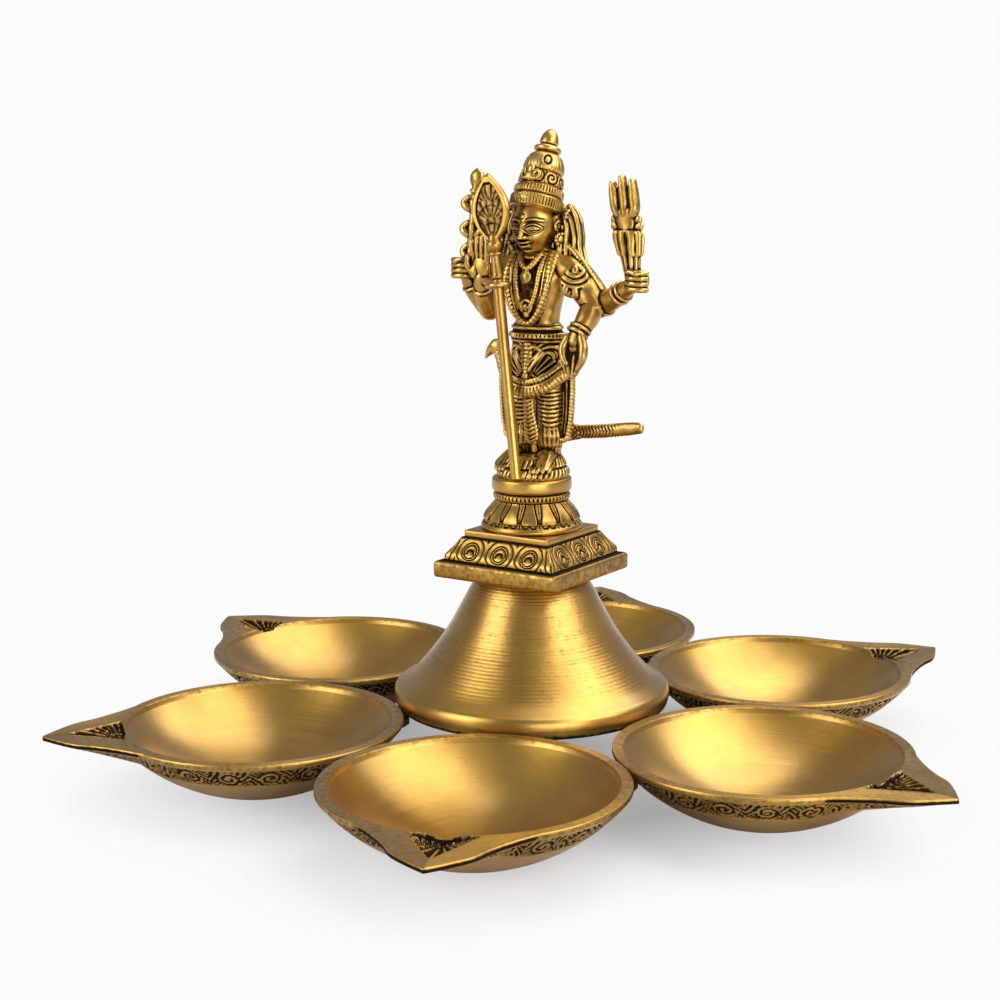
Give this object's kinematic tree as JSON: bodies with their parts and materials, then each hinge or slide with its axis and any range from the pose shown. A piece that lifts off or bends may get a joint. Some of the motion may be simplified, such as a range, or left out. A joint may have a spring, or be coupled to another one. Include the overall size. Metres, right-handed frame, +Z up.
{
  "type": "oil lamp",
  "caption": "Brass oil lamp: leaf-spouted bowls joined in a ring round a hollow bell-shaped cone that carries a square plinth, a lotus pedestal and a standing figure with a lift-out spear.",
  "frame": {"origin": "on the table under the lamp's vertical axis, at the centre of the ring of bowls", "axes": "+Z up; the figure faces -Y and +X is the figure's own left"},
  "size_m": [0.2745, 0.2566, 0.1811],
  "materials": {
    "turned_brass": "satin, turned, fine circular marks",
    "cast_brass": "cast and chased, dark patina left in the recesses",
    "bright_brass": "drawn and polished",
    "braze_brass": "as brazed, slightly rough"
  },
  "bodies": {
    "lamp": {"bowl_1": "turned_brass", "bowl_2": "turned_brass", "bowl_3": "turned_brass", "bowl_4": "turned_brass", "bowl_5": "turned_brass", "bowl_6": "turned_brass", "cone_base": "turned_brass", "square_plinth": "cast_brass", "lotus_pedestal": "cast_brass", "deity_figure": "cast_brass", "peacock": "cast_brass", "centre_stud": "bright_brass", "stud_washer": "bright_brass", "stud_nut": "bright_brass", "cone_braze_1": "braze_brass", "cone_braze_2": "braze_brass", "cone_braze_3": "braze_brass", "cone_braze_4": "braze_brass", "cone_braze_5": "braze_brass", "cone_braze_6": "braze_brass", "bowl_braze_1": "braze_brass", "bowl_braze_2": "braze_brass", "bowl_braze_3": "braze_brass", "bowl_braze_4": "braze_brass", "bowl_braze_5": "braze_brass", "bowl_braze_6": "braze_brass"},
    "vel": {"vel_head": "cast_brass", "vel_shaft": "bright_brass"}
  },
  "joints": [
    {"name": "vel_lift", "type": "slide", "parent": "lamp", "child": "vel", "axis": [-0.1229, 0.0197, 0.9922], "range_m": [0, 0.056]}
  ]
}
